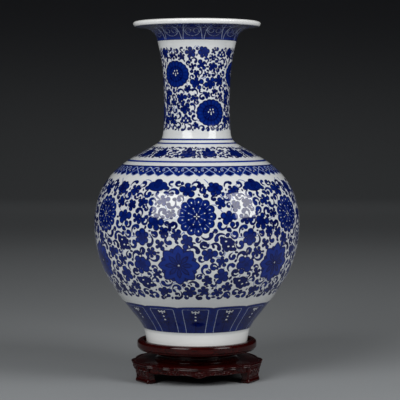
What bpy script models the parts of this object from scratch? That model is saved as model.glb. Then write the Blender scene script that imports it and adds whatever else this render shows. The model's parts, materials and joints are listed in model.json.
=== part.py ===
"""Porcelain vase on a turned and carved wooden stand. Metres, +Z up, origin on the floor under the vase's axis."""
import math

import bmesh
import bpy
from mathutils import Matrix, Vector

# ---------------------------------------------------------------- driving dimensions (metres)
MM = 0.001
GAP = 0.3 * MM            # room between touching pieces

VASE_HEIGHT = 399.3 * MM  # foot ring to lip
WALL = 5.0 * MM           # porcelain wall
SEAT_FLOOR_Z = 45.6 * MM  # floor of the round recess the vase stands in
VASE_Z = SEAT_FLOOR_Z + GAP

SEAT_R = 75.0 * MM        # turned top disc
SEAT_Z0, SEAT_Z1 = 36.4 * MM, 48.6 * MM
RECESS_R = 67.0 * MM
WAIST_R = 52.0 * MM
WAIST_Z0, WAIST_Z1 = 23.8 * MM, 36.1 * MM

BOARD_Z0, BOARD_Z1 = 20.0 * MM, 23.5 * MM
APRON_Z0, APRON_Z1 = 13.4 * MM, 19.7 * MM
APRON_DROP = 2.2 * MM     # pendant at the middle of each apron
APRON_INSET = 0.9 * MM    # apron stands this far back under the board's lip
APRON_DEPTH = 8.0 * MM
FOOT_HALF_W = 15.5 * MM
FOOT_Z1 = 19.7 * MM
FOOT_FACE = 81.6 * MM     # outer face of a foot, from the axis
FOOT_DEPTH = 17.0 * MM

STAND_TURN = math.radians(2.0)   # the stand is set down turned by this much
FOOT_DIRS = {"foot_left": -60.0, "foot_right": 60.0, "foot_back": 180.0}   # degrees from the front
APRON_DIRS = {"apron_front": 0.0, "apron_right": 120.0, "apron_left": -120.0}

SCREW_RING = 34.0 * MM
DOWEL_RING = 73.0 * MM

VASE_STEPS = 48
TURN_STEPS = 48

# Stations of the vase's outer side, top to bottom: (radius, height above the floor) in mm. A smooth curve runs through them.
STATIONS = [
    (79.4, 442.3),    # rolled lip, widest
    (77.4, 439.2),    # lip's lower edge
    (65.6, 437.3),    # underside of the flare
    (56.8, 433.8),
    (51.5, 427.6),    # flare turns into the neck
    (47.7, 415.1),
    (43.4, 391.4),
    (41.0, 352.0),    # neck, narrowest
    (41.6, 315.5),
    (43.6, 301.4),
    (47.6, 295.8),    # break between neck and shoulder
    (56.5, 290.1),
    (74.2, 280.1),    # shoulder
    (90.3, 270.1),
    (107.0, 255.1),
    (120.2, 235.0),
    (127.2, 210.1),
    (128.3, 192.6),   # belly, widest
    (125.5, 165.1),
    (115.8, 135.1),
    (97.6, 105.1),
    (82.3, 85.1),
    (71.6, 71.5),
    (66.8, 63.2),     # waist above the foot
    (65.2, 57.5),
    (63.6, 48.6),     # foot ring
]


# ---------------------------------------------------------------- helpers
for ob in list(bpy.data.objects):
    bpy.data.objects.remove(ob, do_unlink=True)

parts = bpy.data.collections.new("porcelain_vase")
cutters = bpy.data.collections.new("cutters")
bpy.context.scene.collection.children.link(parts)
bpy.context.scene.collection.children.link(cutters)
cutters.hide_render = True


def material(name, colour, rough, metal=0.0):
    m = bpy.data.materials.new(name)
    m.use_nodes = True
    b = m.node_tree.nodes["Principled BSDF"]
    b.inputs["Base Color"].default_value = (*colour, 1.0)
    b.inputs["Roughness"].default_value = rough
    b.inputs["Metallic"].default_value = metal
    return m


PORCELAIN = material("porcelain", (0.80, 0.81, 0.80), 0.08)
ROSEWOOD = material("rosewood", (0.10, 0.012, 0.008), 0.22)
BEECH = material("dowel_wood", (0.45, 0.30, 0.17), 0.6)
STEEL = material("screw_steel", (0.55, 0.54, 0.50), 0.35, 1.0)


def add(name, mesh, mat, collection=parts):
    ob = bpy.data.objects.new(name, mesh)
    collection.objects.link(ob)
    if mat:
        mesh.materials.append(mat)
    return ob


def turned(name, profile, steps, mat, collection=parts):
    """A profile of (radius, height) points in the XZ plane, down its outer side, turned about Z."""
    mesh = bpy.data.meshes.new(name)
    verts = [(r, 0.0, z) for r, z in profile]
    closed = profile[0][0] > 0
    edges = [(i, i + 1) for i in range(len(verts) - 1)]
    if closed:
        edges.append((len(verts) - 1, 0))
    mesh.from_pydata(verts, edges, [])
    ob = add(name, mesh, mat, collection)
    screw = ob.modifiers.new("turn", "SCREW")
    screw.axis = "Z"
    screw.angle = math.tau
    screw.steps = screw.render_steps = steps
    screw.use_merge_vertices = True
    screw.merge_threshold = 0.00005
    screw.use_smooth_shade = True
    return ob


def bake(ob):
    """The object's modifiers applied to its mesh, with stray double points welded."""
    bpy.context.view_layer.update()
    graph = bpy.context.evaluated_depsgraph_get()
    mesh = bpy.data.meshes.new_from_object(ob.evaluated_get(graph))
    bm = bmesh.new()
    bm.from_mesh(mesh)
    bmesh.ops.remove_doubles(bm, verts=bm.verts, dist=0.00001)
    bm.to_mesh(mesh)
    bm.free()
    ob.modifiers.clear()
    ob.data = mesh
    return ob


def rod(name, r, z0, z1, at, sides, mat, collection=parts):
    bm = bmesh.new()
    bmesh.ops.create_cone(bm, cap_ends=True, segments=sides, radius1=r, radius2=r, depth=z1 - z0)
    mesh = bpy.data.meshes.new(name)
    bm.to_mesh(mesh)
    bm.free()
    ob = add(name, mesh, mat, collection)
    ob.location = (at[0], at[1], (z0 + z1) / 2)
    return ob


def cut(ob, *tools):
    for tool in tools:
        tool.hide_render = True
        tool.display_type = "WIRE"
        mod = ob.modifiers.new("cut_" + tool.name, "BOOLEAN")
        mod.operation = "DIFFERENCE"
        mod.solver = "EXACT"
        mod.object = tool
    return ob


def place(angle_deg, radius):
    """A point on the stand. 0 degrees is the front (-Y), and positive goes to the right (+X)."""
    a = math.radians(angle_deg) + STAND_TURN
    return Vector((radius * math.sin(a), -radius * math.cos(a), 0.0))


# ---------------------------------------------------------------- the board's lobed outline
CORNER_T = 16.2 * MM      # half the flat in front of a foot
CORNER_DIST = 83.0 * MM
TIP, NOTCH_A, LOBE, NOTCH_B = 82.0 * MM, 78.2 * MM, 82.6 * MM, 80.4 * MM
CORNER_ANGLE = 60.0 - math.degrees(math.atan2(CORNER_T, CORNER_DIST))


def outline_radius(deg):
    """Radius of the board's edge. It repeats every 120 degrees, is mirrored about the middle of an apron (0), and has a foot at 60."""
    a = abs((deg + 60.0) % 120.0 - 60.0)
    if a <= 22.5:
        t = 1.0 - a / 22.5
        return NOTCH_A + (TIP - NOTCH_A) * (0.72 * math.sin(t * math.pi / 2) + 0.28 * t**5)
    if a <= 43.0:
        t = (a - 22.5) / 20.5
        base = NOTCH_A + (NOTCH_B - NOTCH_A) * t
        return base + (LOBE - (NOTCH_A + NOTCH_B) / 2) * math.sin(t * math.pi) ** 0.8
    if a <= CORNER_ANGLE:
        t = (a - 43.0) / (CORNER_ANGLE - 43.0)
        corner = math.hypot(CORNER_DIST, CORNER_T)
        return NOTCH_B + (corner - NOTCH_B) * t**1.6
    return CORNER_DIST / math.cos(math.radians(60.0 - a))


def outline_angles():
    half = [0, 2.5, 5.5, 9, 12.5, 16, 19.5, 22.5, 25, 28, 31.5, 35, 38.5, 41, 43, 45, CORNER_ANGLE, 52.5, 60]
    sixth = half + [120 - a for a in reversed(half[:-1])]
    return [a + 120.0 * k for k in range(3) for a in sixth[:-1]]


# ---------------------------------------------------------------- vase
def smooth_through(points, cuts):
    """Catmull-Rom curve through the points (centripetal, so it doesn't overshoot), with cuts(i) samples in span i."""
    pts = [Vector(p) for p in points]
    pts = [2 * pts[0] - pts[1]] + pts + [2 * pts[-1] - pts[-2]]
    out = []
    for i in range(1, len(pts) - 2):
        p0, p1, p2, p3 = pts[i - 1:i + 3]
        t0 = 0.0
        t1 = t0 + (p1 - p0).length ** 0.5
        t2 = t1 + (p2 - p1).length ** 0.5
        t3 = t2 + (p3 - p2).length ** 0.5
        n = cuts(i - 1)
        for k in range(n):
            t = t1 + (t2 - t1) * k / n
            a1 = (t1 - t) / (t1 - t0) * p0 + (t - t0) / (t1 - t0) * p1
            a2 = (t2 - t) / (t2 - t1) * p1 + (t - t1) / (t2 - t1) * p2
            a3 = (t3 - t) / (t3 - t2) * p2 + (t - t2) / (t3 - t2) * p3
            b1 = (t2 - t) / (t2 - t0) * a1 + (t - t0) / (t2 - t0) * a2
            b2 = (t3 - t) / (t3 - t1) * a2 + (t - t1) / (t3 - t1) * a3
            out.append((t2 - t) / (t2 - t1) * b1 + (t - t1) / (t2 - t1) * b2)
    out.append(pts[-2])
    return [(p.x, p.y) for p in out]


def inside_of(curve, wall):
    """The curve moved inward by the wall, square to itself."""
    out = []
    for i in range(1, len(curve) - 1):
        (r0, z0), (r1, z1) = curve[i - 1], curve[i + 1]
        d = math.hypot(r1 - r0, z1 - z0)
        r, z = curve[i]
        out.append((r + (z1 - z0) / d * wall, z - (r1 - r0) / d * wall))
    return out


def vase_profile():
    top = VASE_Z + VASE_HEIGHT
    outer = [(r * MM, z * MM) for r, z in smooth_through(STATIONS, lambda i: 2)]
    coarse = [(r * MM, z * MM) for r, z in smooth_through(STATIONS, lambda i: 1)]
    floor_z = VASE_Z + 15.0 * MM
    inner = [p for p in inside_of(coarse, WALL) if floor_z + 6.0 * MM < p[1] < 420.0 * MM]
    floor = [(59.5 * MM, floor_z + 2.6 * MM), (52.0 * MM, floor_z), (0.0, floor_z)]
    throat = [(49.6 * MM, 430.8 * MM), (54.6 * MM, 436.8 * MM), (62.0 * MM, 440.9 * MM)]
    lip = [(69.4 * MM, top - 2.0 * MM), (73.6 * MM, top - 0.5 * MM), (76.2 * MM, top), (78.0 * MM, top - 0.6 * MM), (79.1 * MM, top - 1.8 * MM)]
    foot = [(63.0 * MM, VASE_Z + 1.0 * MM), (61.8 * MM, VASE_Z), (57.0 * MM, VASE_Z), (55.8 * MM, VASE_Z + 1.2 * MM),
            (55.0 * MM, VASE_Z + 7.0 * MM), (51.0 * MM, VASE_Z + 9.0 * MM), (0.0, VASE_Z + 9.0 * MM)]
    return list(reversed(floor)) + list(reversed(inner)) + throat + lip + outer + foot


vase = turned("porcelain_vase", vase_profile(), VASE_STEPS, PORCELAIN)

# ---------------------------------------------------------------- turned seat and waist
seat_profile = [
    (0.0, SEAT_FLOOR_Z), (RECESS_R, SEAT_FLOOR_Z), (RECESS_R, SEAT_Z1 - 0.6 * MM), (RECESS_R + 0.6 * MM, SEAT_Z1),
    (SEAT_R - 3.2 * MM, SEAT_Z1), (SEAT_R - 1.0 * MM, SEAT_Z1 - 0.9 * MM), (SEAT_R, SEAT_Z1 - 3.2 * MM),
    (SEAT_R, SEAT_Z0 + 4.2 * MM), (SEAT_R - 1.3 * MM, SEAT_Z0 + 1.4 * MM), (SEAT_R - 4.5 * MM, SEAT_Z0), (0.0, SEAT_Z0),
]
seat = turned("seat_disc", seat_profile, TURN_STEPS, ROSEWOOD)

waist_profile = [
    (0.0, WAIST_Z1), (WAIST_R + 0.6 * MM, WAIST_Z1), (WAIST_R + 0.6 * MM, WAIST_Z1 - 2.0 * MM),
    (WAIST_R - 1.0 * MM, WAIST_Z1 - 4.0 * MM), (WAIST_R - 1.6 * MM, (WAIST_Z0 + WAIST_Z1) / 2), (WAIST_R - 1.0 * MM, WAIST_Z0 + 4.0 * MM),
    (WAIST_R + 1.0 * MM, WAIST_Z0 + 2.0 * MM), (WAIST_R + 1.0 * MM, WAIST_Z0), (0.0, WAIST_Z0),
]
waist = turned("waist_drum", waist_profile, TURN_STEPS, ROSEWOOD)

# ---------------------------------------------------------------- lobed board: the outline filled and extruded, its edges eased
curve = bpy.data.curves.new("base_board", "CURVE")
curve.dimensions = "2D"
curve.fill_mode = "BOTH"
curve.extrude = (BOARD_Z1 - BOARD_Z0) / 2
angles = outline_angles()
spline = curve.splines.new("POLY")
spline.points.add(len(angles) - 1)
for point, a in zip(spline.points, angles):
    p = place(a, outline_radius(a))
    point.co = (p.x, p.y, 0.0, 1.0)
spline.use_cyclic_u = True
board_curve = bpy.data.objects.new("board_outline", curve)
parts.objects.link(board_curve)
board_curve.location.z = (BOARD_Z0 + BOARD_Z1) / 2
bpy.context.view_layer.update()
graph = bpy.context.evaluated_depsgraph_get()
board_mesh = bpy.data.meshes.new_from_object(board_curve.evaluated_get(graph))
bm = bmesh.new()
bm.from_mesh(board_mesh)
bmesh.ops.remove_doubles(bm, verts=bm.verts, dist=0.00001)
bmesh.ops.recalc_face_normals(bm, faces=bm.faces)
bm.to_mesh(board_mesh)
bm.free()
board = add("base_board", board_mesh, ROSEWOOD)
board.matrix_world = board_curve.matrix_world
bpy.data.objects.remove(board_curve)


# ---------------------------------------------------------------- aprons: a strip lofted along the outline between two feet
def apron_bottom(rel):
    """Height of the apron's lower edge, rel degrees from its middle: a pendant, then two shallow scallops."""
    a = abs(rel)
    if a <= 6.0:
        return APRON_Z0 - APRON_DROP * math.cos(a / 6.0 * math.pi / 2) ** 0.8
    if a <= 23.0:
        return APRON_Z0 + 0.9 * MM * math.sin((a - 6.0) / 17.0 * math.pi)
    return APRON_Z0 + 0.9 * MM * math.sin(min(1.0, (a - 23.0) / 20.0) * math.pi)


def apron(name, middle):
    rels = [-44.5, -42, -39, -35, -31, -27, -23, -19.5, -16, -12.5, -9, -6, -4.2, -2.2, 0]
    rels += [-a for a in reversed(rels[:-1])]
    verts, faces = [], []
    for rel in rels:
        outer = min(outline_radius(rel), 80.9 * MM) - APRON_INSET
        inner = outer - APRON_DEPTH
        zb = apron_bottom(rel)
        o, i = place(middle + rel, outer), place(middle + rel, inner)
        verts += [(o.x, o.y, APRON_Z1), (o.x, o.y, zb), (i.x, i.y, zb), (i.x, i.y, APRON_Z1)]
    n = len(rels)
    for k in range(n - 1):
        a, b = 4 * k, 4 * (k + 1)
        for j in range(4):
            j2 = (j + 1) % 4
            faces.append((a + j, a + j2, b + j2, b + j))
    faces.append((0, 3, 2, 1))
    e = 4 * (n - 1)
    faces.append((e, e + 1, e + 2, e + 3))
    mesh = bpy.data.meshes.new(name)
    mesh.from_pydata(verts, [], faces)
    bm = bmesh.new()
    bm.from_mesh(mesh)
    bmesh.ops.recalc_face_normals(bm, faces=bm.faces)
    bm.to_mesh(mesh)
    bm.free()
    return add(name, mesh, ROSEWOOD)


for name, middle in APRON_DIRS.items():
    apron(name, middle)

# ---------------------------------------------------------------- feet: a cabriole profile across, as wide as the corner of the board
foot_profile = [  # (distance from the axis, height), in metres
    (FOOT_FACE, FOOT_Z1), (FOOT_FACE + 0.2 * MM, 15.5 * MM), (FOOT_FACE - 1.4 * MM, 11.5 * MM), (FOOT_FACE - 2.4 * MM, 8.0 * MM),
    (FOOT_FACE - 1.8 * MM, 4.6 * MM), (FOOT_FACE - 0.4 * MM, 2.4 * MM), (FOOT_FACE - 0.2 * MM, 0.9 * MM), (FOOT_FACE - 1.2 * MM, 0.0),
    (FOOT_FACE - 13.0 * MM, 0.0), (FOOT_FACE - 14.2 * MM, 1.4 * MM), (FOOT_FACE - 12.8 * MM, 5.0 * MM), (FOOT_FACE - 12.6 * MM, 9.0 * MM),
    (FOOT_FACE - 14.0 * MM, 12.5 * MM), (FOOT_FACE - FOOT_DEPTH, 15.5 * MM), (FOOT_FACE - FOOT_DEPTH, FOOT_Z1),
]


def foot(name, direction):
    curve = bpy.data.curves.new(name + "_profile", "CURVE")
    curve.dimensions = "2D"
    curve.fill_mode = "BOTH"
    curve.extrude = FOOT_HALF_W
    spline = curve.splines.new("POLY")
    spline.points.add(len(foot_profile) - 1)
    for point, (d, z) in zip(spline.points, foot_profile):
        point.co = (d, z, 0.0, 1.0)
    spline.use_cyclic_u = True
    made = bpy.data.objects.new(name + "_profile", curve)
    parts.objects.link(made)
    a = math.radians(direction) + STAND_TURN
    out = Vector((math.sin(a), -math.cos(a), 0.0))
    up = Vector((0.0, 0.0, 1.0))
    across = out.cross(up)
    made.matrix_world = Matrix((out, up, across)).transposed().to_4x4()
    bpy.context.view_layer.update()
    graph = bpy.context.evaluated_depsgraph_get()
    mesh = bpy.data.meshes.new_from_object(made.evaluated_get(graph))
    bm = bmesh.new()
    bm.from_mesh(mesh)
    bmesh.ops.remove_doubles(bm, verts=bm.verts, dist=0.00001)
    bmesh.ops.recalc_face_normals(bm, faces=bm.faces)
    bm.to_mesh(mesh)
    bm.free()
    ob = add(name, mesh, ROSEWOOD)
    ob.matrix_world = made.matrix_world
    bpy.data.objects.remove(made)
    return ob


feet = {name: foot(name, direction) for name, direction in FOOT_DIRS.items()}

# ---------------------------------------------------------------- hidden joinery: three wood screws up through board and waist, one dowel in each foot
SCREW_Z0, SCREW_Z1 = BOARD_Z0 + 0.2 * MM, 43.0 * MM
for k, direction in enumerate((60.0, 180.0, 300.0)):
    at = place(direction, SCREW_RING)
    profile = [
        (0.0, SCREW_Z1), (0.5 * MM, SCREW_Z1 - 0.4 * MM), (1.75 * MM, SCREW_Z1 - 4.5 * MM), (1.75 * MM, SCREW_Z0 + 2.6 * MM),
        (3.7 * MM, SCREW_Z0 + 0.6 * MM), (3.7 * MM, SCREW_Z0), (0.9 * MM, SCREW_Z0), (0.7 * MM, SCREW_Z0 + 0.9 * MM), (0.0, SCREW_Z0 + 0.9 * MM),
    ]
    screw = turned(f"stand_screw_{k + 1}", profile, 12, STEEL)
    screw.location = (at.x, at.y, 0.0)
    hole = turned(f"screw_hole_{k + 1}", [
        (0.0, SCREW_Z1 + 0.5 * MM), (0.8 * MM, SCREW_Z1 + 0.1 * MM), (2.1 * MM, SCREW_Z1 - 4.2 * MM), (2.1 * MM, SCREW_Z0 + 2.6 * MM),
        (4.1 * MM, SCREW_Z0 + 0.6 * MM), (4.1 * MM, BOARD_Z0 - 1.0 * MM), (0.0, BOARD_Z0 - 1.0 * MM)], 12, None, cutters)
    hole.location = screw.location
    cut(board, hole)
    cut(waist, hole)
    cut(seat, hole)

for name, direction in FOOT_DIRS.items():
    at = place(direction, DOWEL_RING)
    side = name.split("_")[1]
    rod(f"dowel_{side}", 2.5 * MM, 11.0 * MM, 22.2 * MM, at, 10, BEECH)
    hole = rod(f"dowel_hole_{side}", 2.85 * MM, 10.6 * MM, 22.6 * MM, at, 10, None, cutters)
    cut(feet[name], hole)
    cut(board, hole)

for ob in parts.objects:
    if ob.type == "MESH" and ob.data.polygons:
        ob.data.shade_smooth()
        ob.data.set_sharp_from_angle(angle=math.radians(35))
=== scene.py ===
"""Looks for the porcelain vase on its stand: the painted glaze, the lacquered wood, a plain studio."""

import json
import math

import bmesh
import bpy
import numpy as np
from mathutils import Matrix, Vector

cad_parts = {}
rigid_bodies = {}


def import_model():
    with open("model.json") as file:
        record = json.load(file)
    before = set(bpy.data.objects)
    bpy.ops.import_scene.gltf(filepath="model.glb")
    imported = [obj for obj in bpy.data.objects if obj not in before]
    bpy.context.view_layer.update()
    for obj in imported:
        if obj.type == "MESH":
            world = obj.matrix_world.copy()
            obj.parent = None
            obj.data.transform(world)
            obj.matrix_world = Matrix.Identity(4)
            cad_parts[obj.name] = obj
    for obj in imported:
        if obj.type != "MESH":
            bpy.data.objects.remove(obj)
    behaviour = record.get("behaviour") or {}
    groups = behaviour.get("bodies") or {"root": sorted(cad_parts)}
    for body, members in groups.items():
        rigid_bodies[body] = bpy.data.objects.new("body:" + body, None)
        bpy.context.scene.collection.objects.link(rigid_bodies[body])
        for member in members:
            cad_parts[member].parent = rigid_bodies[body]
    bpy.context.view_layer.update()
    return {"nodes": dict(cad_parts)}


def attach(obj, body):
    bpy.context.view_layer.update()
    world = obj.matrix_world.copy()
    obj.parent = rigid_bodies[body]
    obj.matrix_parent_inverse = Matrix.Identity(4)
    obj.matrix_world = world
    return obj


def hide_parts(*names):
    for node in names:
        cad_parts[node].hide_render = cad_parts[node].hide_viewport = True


for ob in list(bpy.data.objects):
    bpy.data.objects.remove(ob, do_unlink=True)

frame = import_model()
MM = 0.001

# ------------------------------------------------------------------ camera and studio
cam_data = bpy.data.cameras.new("camera")
cam_data.sensor_width = 36.0
cam_data.lens = 141.75
cam_data.clip_end = 60.0
camera = bpy.data.objects.new("camera", cam_data)
bpy.context.scene.collection.objects.link(camera)
camera.location = (0.0039, -1.96875, 0.3294)
camera.rotation_euler = (math.radians(90.0 - 3.09), 0.0, 0.0)
bpy.context.scene.camera = camera


def softbox(name, azimuth, elevation, distance, size_x, size_y, power, target=(0.0, 0.0, 0.24), colour=(1, 1, 1)):
    """A square light. Azimuth 0 is in front (-Y), positive to the right."""
    data = bpy.data.lights.new(name, "AREA")
    data.shape = "RECTANGLE"
    data.size, data.size_y = size_x, size_y
    data.energy = power
    data.color = colour
    ob = bpy.data.objects.new(name, data)
    bpy.context.scene.collection.objects.link(ob)
    a, e = math.radians(azimuth), math.radians(elevation)
    offset = Vector((math.sin(a) * math.cos(e), -math.cos(a) * math.cos(e), math.sin(e))) * distance
    ob.location = Vector(target) + offset
    ob.rotation_euler = offset.to_track_quat("Z", "Y").to_euler()
    return ob


softbox("softbox_left", -34.5, 27, 1.5, 0.84, 0.88, 15.0)
softbox("softbox_right", 55, 26, 1.5, 0.66, 0.88, 12.5)
softbox("softbox_back", 180, 42, 2.2, 1.6, 0.8, 4.0).visible_glossy = False         # fills the shoulder without a mirror image in it
softbox("backdrop_light", 0, 90, 1.3, 3.2, 0.5, 2.3, target=(0.0, 3.6, 0.0)).visible_glossy = False       # faces down, onto the foot of the backdrop

world = bpy.data.worlds.new("studio")
world.use_nodes = True
background = world.node_tree.nodes["Background"]
background.inputs["Color"].default_value = (0.60, 0.61, 0.63, 1.0)
background.inputs["Strength"].default_value = 0.035
bpy.context.scene.world = world
bpy.context.scene.view_settings.view_transform = "Standard"


# ------------------------------------------------------------------ small helpers
def link(ob):
    bpy.context.scene.collection.objects.link(ob)
    return ob


def mesh_from_arrays(name, co, quads, tris=None, uv_quads=None, uv_tris=None, smooth=True):
    """A mesh from numpy arrays: co (n,3), quads (m,4), tris (k,3), with loop UVs of the same shape plus 2."""
    me = bpy.data.meshes.new(name)
    nt = 0 if tris is None else len(tris)
    me.vertices.add(len(co))
    me.vertices.foreach_set("co", np.ascontiguousarray(co, np.float32).ravel())
    idx = quads.ravel()
    starts = np.arange(len(quads)) * 4
    if nt:
        idx = np.concatenate([idx, tris.ravel()])
        starts = np.concatenate([starts, len(quads) * 4 + np.arange(nt) * 3])
    me.loops.add(len(idx))
    me.loops.foreach_set("vertex_index", idx.astype(np.int32))
    me.polygons.add(len(starts))
    me.polygons.foreach_set("loop_start", starts.astype(np.int32))
    me.update(calc_edges=True)
    if smooth:
        me.polygons.foreach_set("use_smooth", np.ones(len(starts), bool))
    if uv_quads is not None:
        layer = me.uv_layers.new(name="OFBake")
        uv = uv_quads.reshape(-1, 2)
        if nt:
            uv = np.concatenate([uv, uv_tris.reshape(-1, 2)])
        layer.data.foreach_set("uv", uv.astype(np.float32).ravel())
    return me


def catmull(points, step):
    """Centripetal Catmull-Rom curve through the points, as the CAD profile has it, sampled about every step."""
    p = np.array(points, float)
    p = np.vstack([2 * p[0] - p[1], p, 2 * p[-1] - p[-2]])
    out = []
    for i in range(1, len(p) - 2):
        p0, p1, p2, p3 = p[i - 1:i + 3]
        t1 = np.linalg.norm(p1 - p0) ** 0.5
        t2 = t1 + np.linalg.norm(p2 - p1) ** 0.5
        t3 = t2 + np.linalg.norm(p3 - p2) ** 0.5
        n = max(2, int(math.ceil(np.linalg.norm(p2 - p1) / step)) * 2)
        t = (t1 + (t2 - t1) * np.arange(n) / n)[:, None]
        a1 = (t1 - t) / t1 * p0 + t / t1 * p1
        a2 = (t2 - t) / (t2 - t1) * p1 + (t - t1) / (t2 - t1) * p2
        a3 = (t3 - t) / (t3 - t2) * p2 + (t - t2) / (t3 - t2) * p3
        b1 = (t2 - t) / t2 * a1 + t / t2 * a2
        b2 = (t3 - t) / (t3 - t1) * a2 + (t - t1) / (t3 - t1) * a3
        out.append((t2 - t) / (t2 - t1) * b1 + (t - t1) / (t2 - t1) * b2)
    out.append(p[-2][None])
    return np.vstack(out)


def resample(p, step):
    """The polyline p with points every step along it."""
    d = np.concatenate([[0], np.cumsum(np.linalg.norm(np.diff(p, axis=0), axis=1))])
    n = max(2, int(round(d[-1] / step)) + 1)
    s = np.linspace(0, d[-1], n)
    return np.stack([np.interp(s, d, p[:, k]) for k in range(p.shape[1])], 1)


# ------------------------------------------------------------------ the vase's profile (mm), the same stations as the CAD solid
STATIONS = [
    (79.4, 442.3), (77.4, 439.2), (65.6, 437.3), (56.8, 433.8), (51.5, 427.6), (47.7, 415.1), (43.4, 391.4), (41.0, 352.0),
    (41.6, 315.5), (43.6, 301.4), (47.6, 295.8), (56.5, 290.1), (74.2, 280.1), (90.3, 270.1), (107.0, 255.1), (120.2, 235.0),
    (127.2, 210.1), (128.3, 192.6), (125.5, 165.1), (115.8, 135.1), (97.6, 105.1), (82.3, 85.1), (71.6, 71.5), (66.8, 63.2),
    (65.2, 57.5), (63.6, 48.6),
]
VASE_Z = 45.9
VASE_TOP = 445.2
WALL = 5.0
NC = 1092          # columns round the vase; a multiple of 6 and of 7
STEP = 0.78

outer = resample(catmull(STATIONS, 2.0), STEP)
s_out = np.concatenate([[0], np.cumsum(np.linalg.norm(np.diff(outer, axis=0), axis=1))])   # distance down the outer side
R_ROW, Z_ROW, S_ROW = outer[:, 0], outer[:, 1], s_out
NR = len(outer)


def s_of(z):
    return float(np.interp(-z, -Z_ROW, S_ROW))


def r_of(z):
    return float(np.interp(-z, -Z_ROW, R_ROW))


# ------------------------------------------------------------------ brush shapes: signed distance in mm, positive inside the paint
FAR = -6.0


class Canvas:
    """The outer side unrolled. Rows follow the profile, columns the turn, and one repeat of the pattern covers 360/fold degrees."""

    def __init__(self, fold):
        self.fold = fold
        self.nc = NC // fold
        self.ink = np.full((NR, self.nc), FAR, np.float32)
        self.tone = np.zeros((NR, self.nc), np.float32)
        self.vine = np.full((NR, self.nc), FAR, np.float32)    # thin stems on the white
        self.pale = np.full((NR, self.nc), FAR, np.float32)    # thin pale lines left in the blue
        self.step = 2 * math.pi / NC

    def window(self, th_deg, s0, reach):
        """Rows, columns and local X (right) and Y (up) in mm for the square of that reach about a point."""
        i0 = max(0, int(np.searchsorted(S_ROW, s0 - reach)))
        i1 = min(NR, int(np.searchsorted(S_ROW, s0 + reach)) + 1)
        if i1 <= i0:
            return None
        r_min = float(R_ROW[i0:i1].min())
        half = int(math.ceil(reach / r_min / self.step)) + 1
        half = min(half, self.nc // 2 - 1) if self.fold > 1 else min(half, NC // 2 - 1)
        jc = math.radians(th_deg) / self.step
        j = np.arange(int(math.floor(jc)) - half, int(math.floor(jc)) + half + 1)
        x = (j - jc)[None, :] * self.step * R_ROW[i0:i1, None]
        y = np.broadcast_to((s0 - S_ROW[i0:i1])[:, None], x.shape)
        return slice(i0, i1), np.mod(j, self.nc), x, y

    def put(self, th, s0, reach, sdf, tone=None, layer="ink"):
        """Adds a shape. sdf(x, y) gives the distance, and tone(x, y) or a number the lightness of the wash."""
        w = self.window(th, s0, reach)
        if w is None:
            return
        rows, cols, x, y = w
        d = sdf(x, y).astype(np.float32)
        grid = getattr(self, layer)
        old = grid[rows][:, cols]
        over = d > old
        sub = np.where(over, d, old)
        block = grid[rows]
        block[:, cols] = sub
        if tone is not None and layer == "ink":
            t = tone(x, y) if callable(tone) else np.full(x.shape, tone, np.float32)
            told = self.tone[rows][:, cols]
            tblock = self.tone[rows]
            tblock[:, cols] = np.where(over & (d > -1.2), t, told)

    def carve(self, th, s0, reach, sdf):
        """Leaves white inside sdf > 0."""
        w = self.window(th, s0, reach)
        if w is None:
            return
        rows, cols, x, y = w
        d = sdf(x, y).astype(np.float32)
        block = self.ink[rows]
        block[:, cols] = np.minimum(block[:, cols], -d)

    def at(self, th_deg, s):
        """The ink distance at points, where s is a distance down the side."""
        i = np.clip(np.searchsorted(S_ROW, s), 0, NR - 1)
        j = np.mod(np.round(np.radians(th_deg) / self.step).astype(int), self.nc)
        return self.ink[i, j]


def stroke(px, py, pr):
    """Distance to a brush stroke through the points, with a radius at each."""
    px, py, pr = (np.asarray(v, float) for v in (px, py, pr))

    def sdf(x, y):
        best = np.full(x.shape, -50.0)
        for k in range(len(px) - 1):
            ax, ay, bx, by = px[k], py[k], px[k + 1], py[k + 1]
            ux, uy = bx - ax, by - ay
            ll = ux * ux + uy * uy + 1e-9
            t = np.clip(((x - ax) * ux + (y - ay) * uy) / ll, 0, 1)
            d = np.hypot(x - ax - t * ux, y - ay - t * uy)
            best = np.maximum(best, pr[k] + t * (pr[k + 1] - pr[k]) - d)
        return best
    return sdf


def disc(cx, cy, r):
    return lambda x, y: r - np.hypot(x - cx, y - cy)


def drop(cx, cy, a, b, ang):
    """An ellipse, near enough as a distance."""
    c, s = math.cos(ang), math.sin(ang)

    def sdf(x, y):
        u, v = (x - cx) * c + (y - cy) * s, -(x - cx) * s + (y - cy) * c
        q = np.hypot(u / a, v / b)
        return (1 - q) * min(a, b) * np.where(q > 1, np.minimum(1.6, 1 + 0.25 * q), 1.0)
    return sdf


def union(*shapes):
    return lambda x, y: np.maximum.reduce([s(x, y) for s in shapes])


def comma(ang, size, curl, bulb, wind):
    """Points of a curled leaf: a thin tail that leaves along ang and winds into a round end."""
    n = 9
    t = np.linspace(0, 1, n)
    turn = curl * (-0.06 * wind + wind * t ** 1.35)
    heading = ang + turn
    ds = size * 1.62 / n
    x = np.concatenate([[0], np.cumsum(np.cos(heading[:-1]) * ds)])
    y = np.concatenate([[0], np.cumsum(np.sin(heading[:-1]) * ds)])
    w = 0.50 + (bulb * 0.66 - 0.50) * np.clip(t * 1.45, 0, 1) ** 0.75
    w[-2] = bulb * 0.86
    w[-1] = bulb
    return x, y, w


rng = np.random.default_rng(20)


def petal_radius(phi, n, amp, sharp):
    return 1 - amp + amp * np.abs(np.cos(n * phi / 2)) ** sharp


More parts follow.
